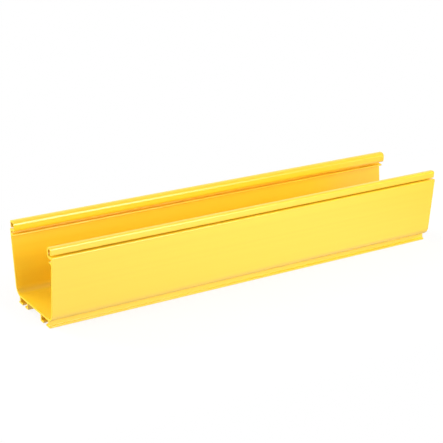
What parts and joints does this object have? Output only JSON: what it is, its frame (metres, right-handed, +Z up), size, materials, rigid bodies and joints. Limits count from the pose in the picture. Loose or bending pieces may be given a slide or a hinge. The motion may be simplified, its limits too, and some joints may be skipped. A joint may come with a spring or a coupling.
{
  "type": "fiber optic raceway",
  "caption": "Straight open-top plastic raceway for fibre optic cable, with flared walls, hooked rims for a clip-on cover and T-slot tracks along its underside.",
  "frame": {"origin": "middle of the length and width, on the level that the T-tracks under the floor stand on", "axes": "+X along the channel, +Y across it, +Z up out of the open top"},
  "size_m": [0.6, 0.1288, 0.109],
  "materials": {
    "yellow_plastic": "satin extruded surface, sawn ends"
  },
  "bodies": {
    "root": {"raceway_channel": "yellow_plastic"}
  },
  "joints": []
}
